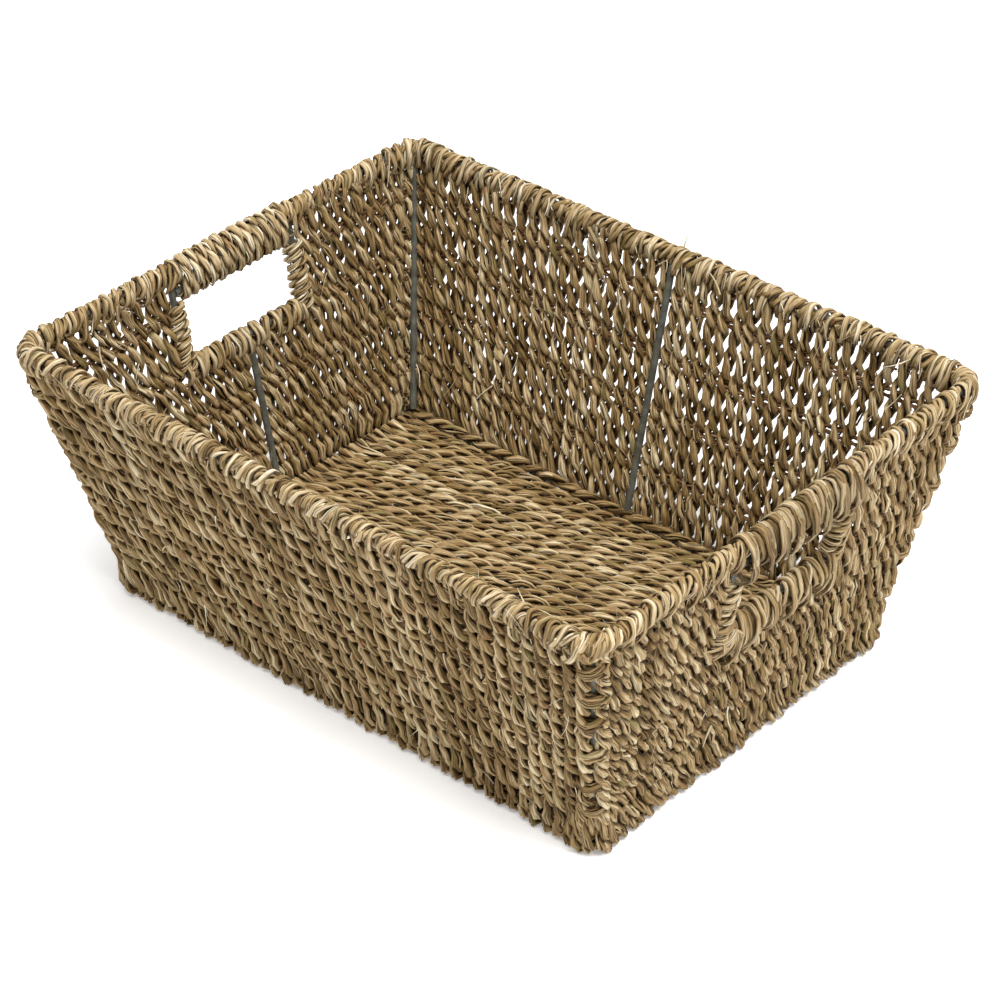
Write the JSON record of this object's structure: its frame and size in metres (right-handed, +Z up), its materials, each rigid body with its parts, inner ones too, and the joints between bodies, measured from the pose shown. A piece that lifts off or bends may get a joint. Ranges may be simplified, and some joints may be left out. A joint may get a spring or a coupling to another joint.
{
  "type": "woven storage basket",
  "caption": "Rectangular open basket with sloping walls, woven of seagrass cord on a wire frame, with a cut-out handle in each short side.",
  "frame": {"origin": "middle of the underside", "axes": "+X along the long side, towards the right-hand hand hole; +Y towards the back wall; +Z up, out of the open top"},
  "size_m": [0.4, 0.31, 0.164],
  "materials": {
    "seagrass_weave": "dry twisted seagrass cord, straw to olive brown",
    "seagrass_binding": "dry flat seagrass blades, pale cream straw, tightly wound",
    "seagrass_weft": "thin dark brown seagrass cord",
    "painted_wire": "dark grey-green paint, semi-matt"
  },
  "bodies": {
    "root": {"back_base_edge": "seagrass_weave", "back_rim_binding": "seagrass_binding", "back_upright": "painted_wire", "back_wall_weave": "seagrass_weave", "base_cross_wire_left": "painted_wire", "base_cross_wire_middle": "painted_wire", "base_cross_wire_right": "painted_wire", "base_weave": "seagrass_weave", "base_wire": "painted_wire", "corner_upright_back_left": "painted_wire", "corner_upright_back_right": "painted_wire", "corner_upright_front_left": "painted_wire", "corner_upright_front_right": "painted_wire", "front_base_edge": "seagrass_weave", "front_rim_binding": "seagrass_binding", "front_upright": "painted_wire", "front_wall_weave": "seagrass_weave", "left_base_edge": "seagrass_weave", "left_grip_wire": "painted_wire", "left_grip_wrap": "seagrass_binding", "left_handle_post_back": "painted_wire", "left_handle_post_front": "painted_wire", "left_lower_upright": "painted_wire", "left_post_wrap_back": "seagrass_binding", "left_post_wrap_front": "seagrass_binding", "left_rim_binding_back": "seagrass_binding", "left_rim_binding_front": "seagrass_binding", "left_sill_wire": "painted_wire", "left_sill_wrap": "seagrass_binding", "left_wall_weave": "seagrass_weave", "right_base_edge": "seagrass_weave", "right_grip_wire": "painted_wire", "right_grip_wrap": "seagrass_binding", "right_handle_post_back": "painted_wire", "right_handle_post_front": "painted_wire", "right_lower_upright": "painted_wire", "right_post_wrap_back": "seagrass_binding", "right_post_wrap_front": "seagrass_binding", "right_rim_binding_back": "seagrass_binding", "right_rim_binding_front": "seagrass_binding", "right_sill_wire": "painted_wire", "right_sill_wrap": "seagrass_binding", "right_wall_weave": "seagrass_weave", "rim_wire": "painted_wire", "weft_cord_1": "seagrass_weft", "weft_cord_2": "seagrass_weft", "weft_cord_3_back": "seagrass_weft", "weft_cord_3_front": "seagrass_weft", "weft_cord_4_back": "seagrass_weft", "weft_cord_4_front": "seagrass_weft"}
  },
  "joints": []
}
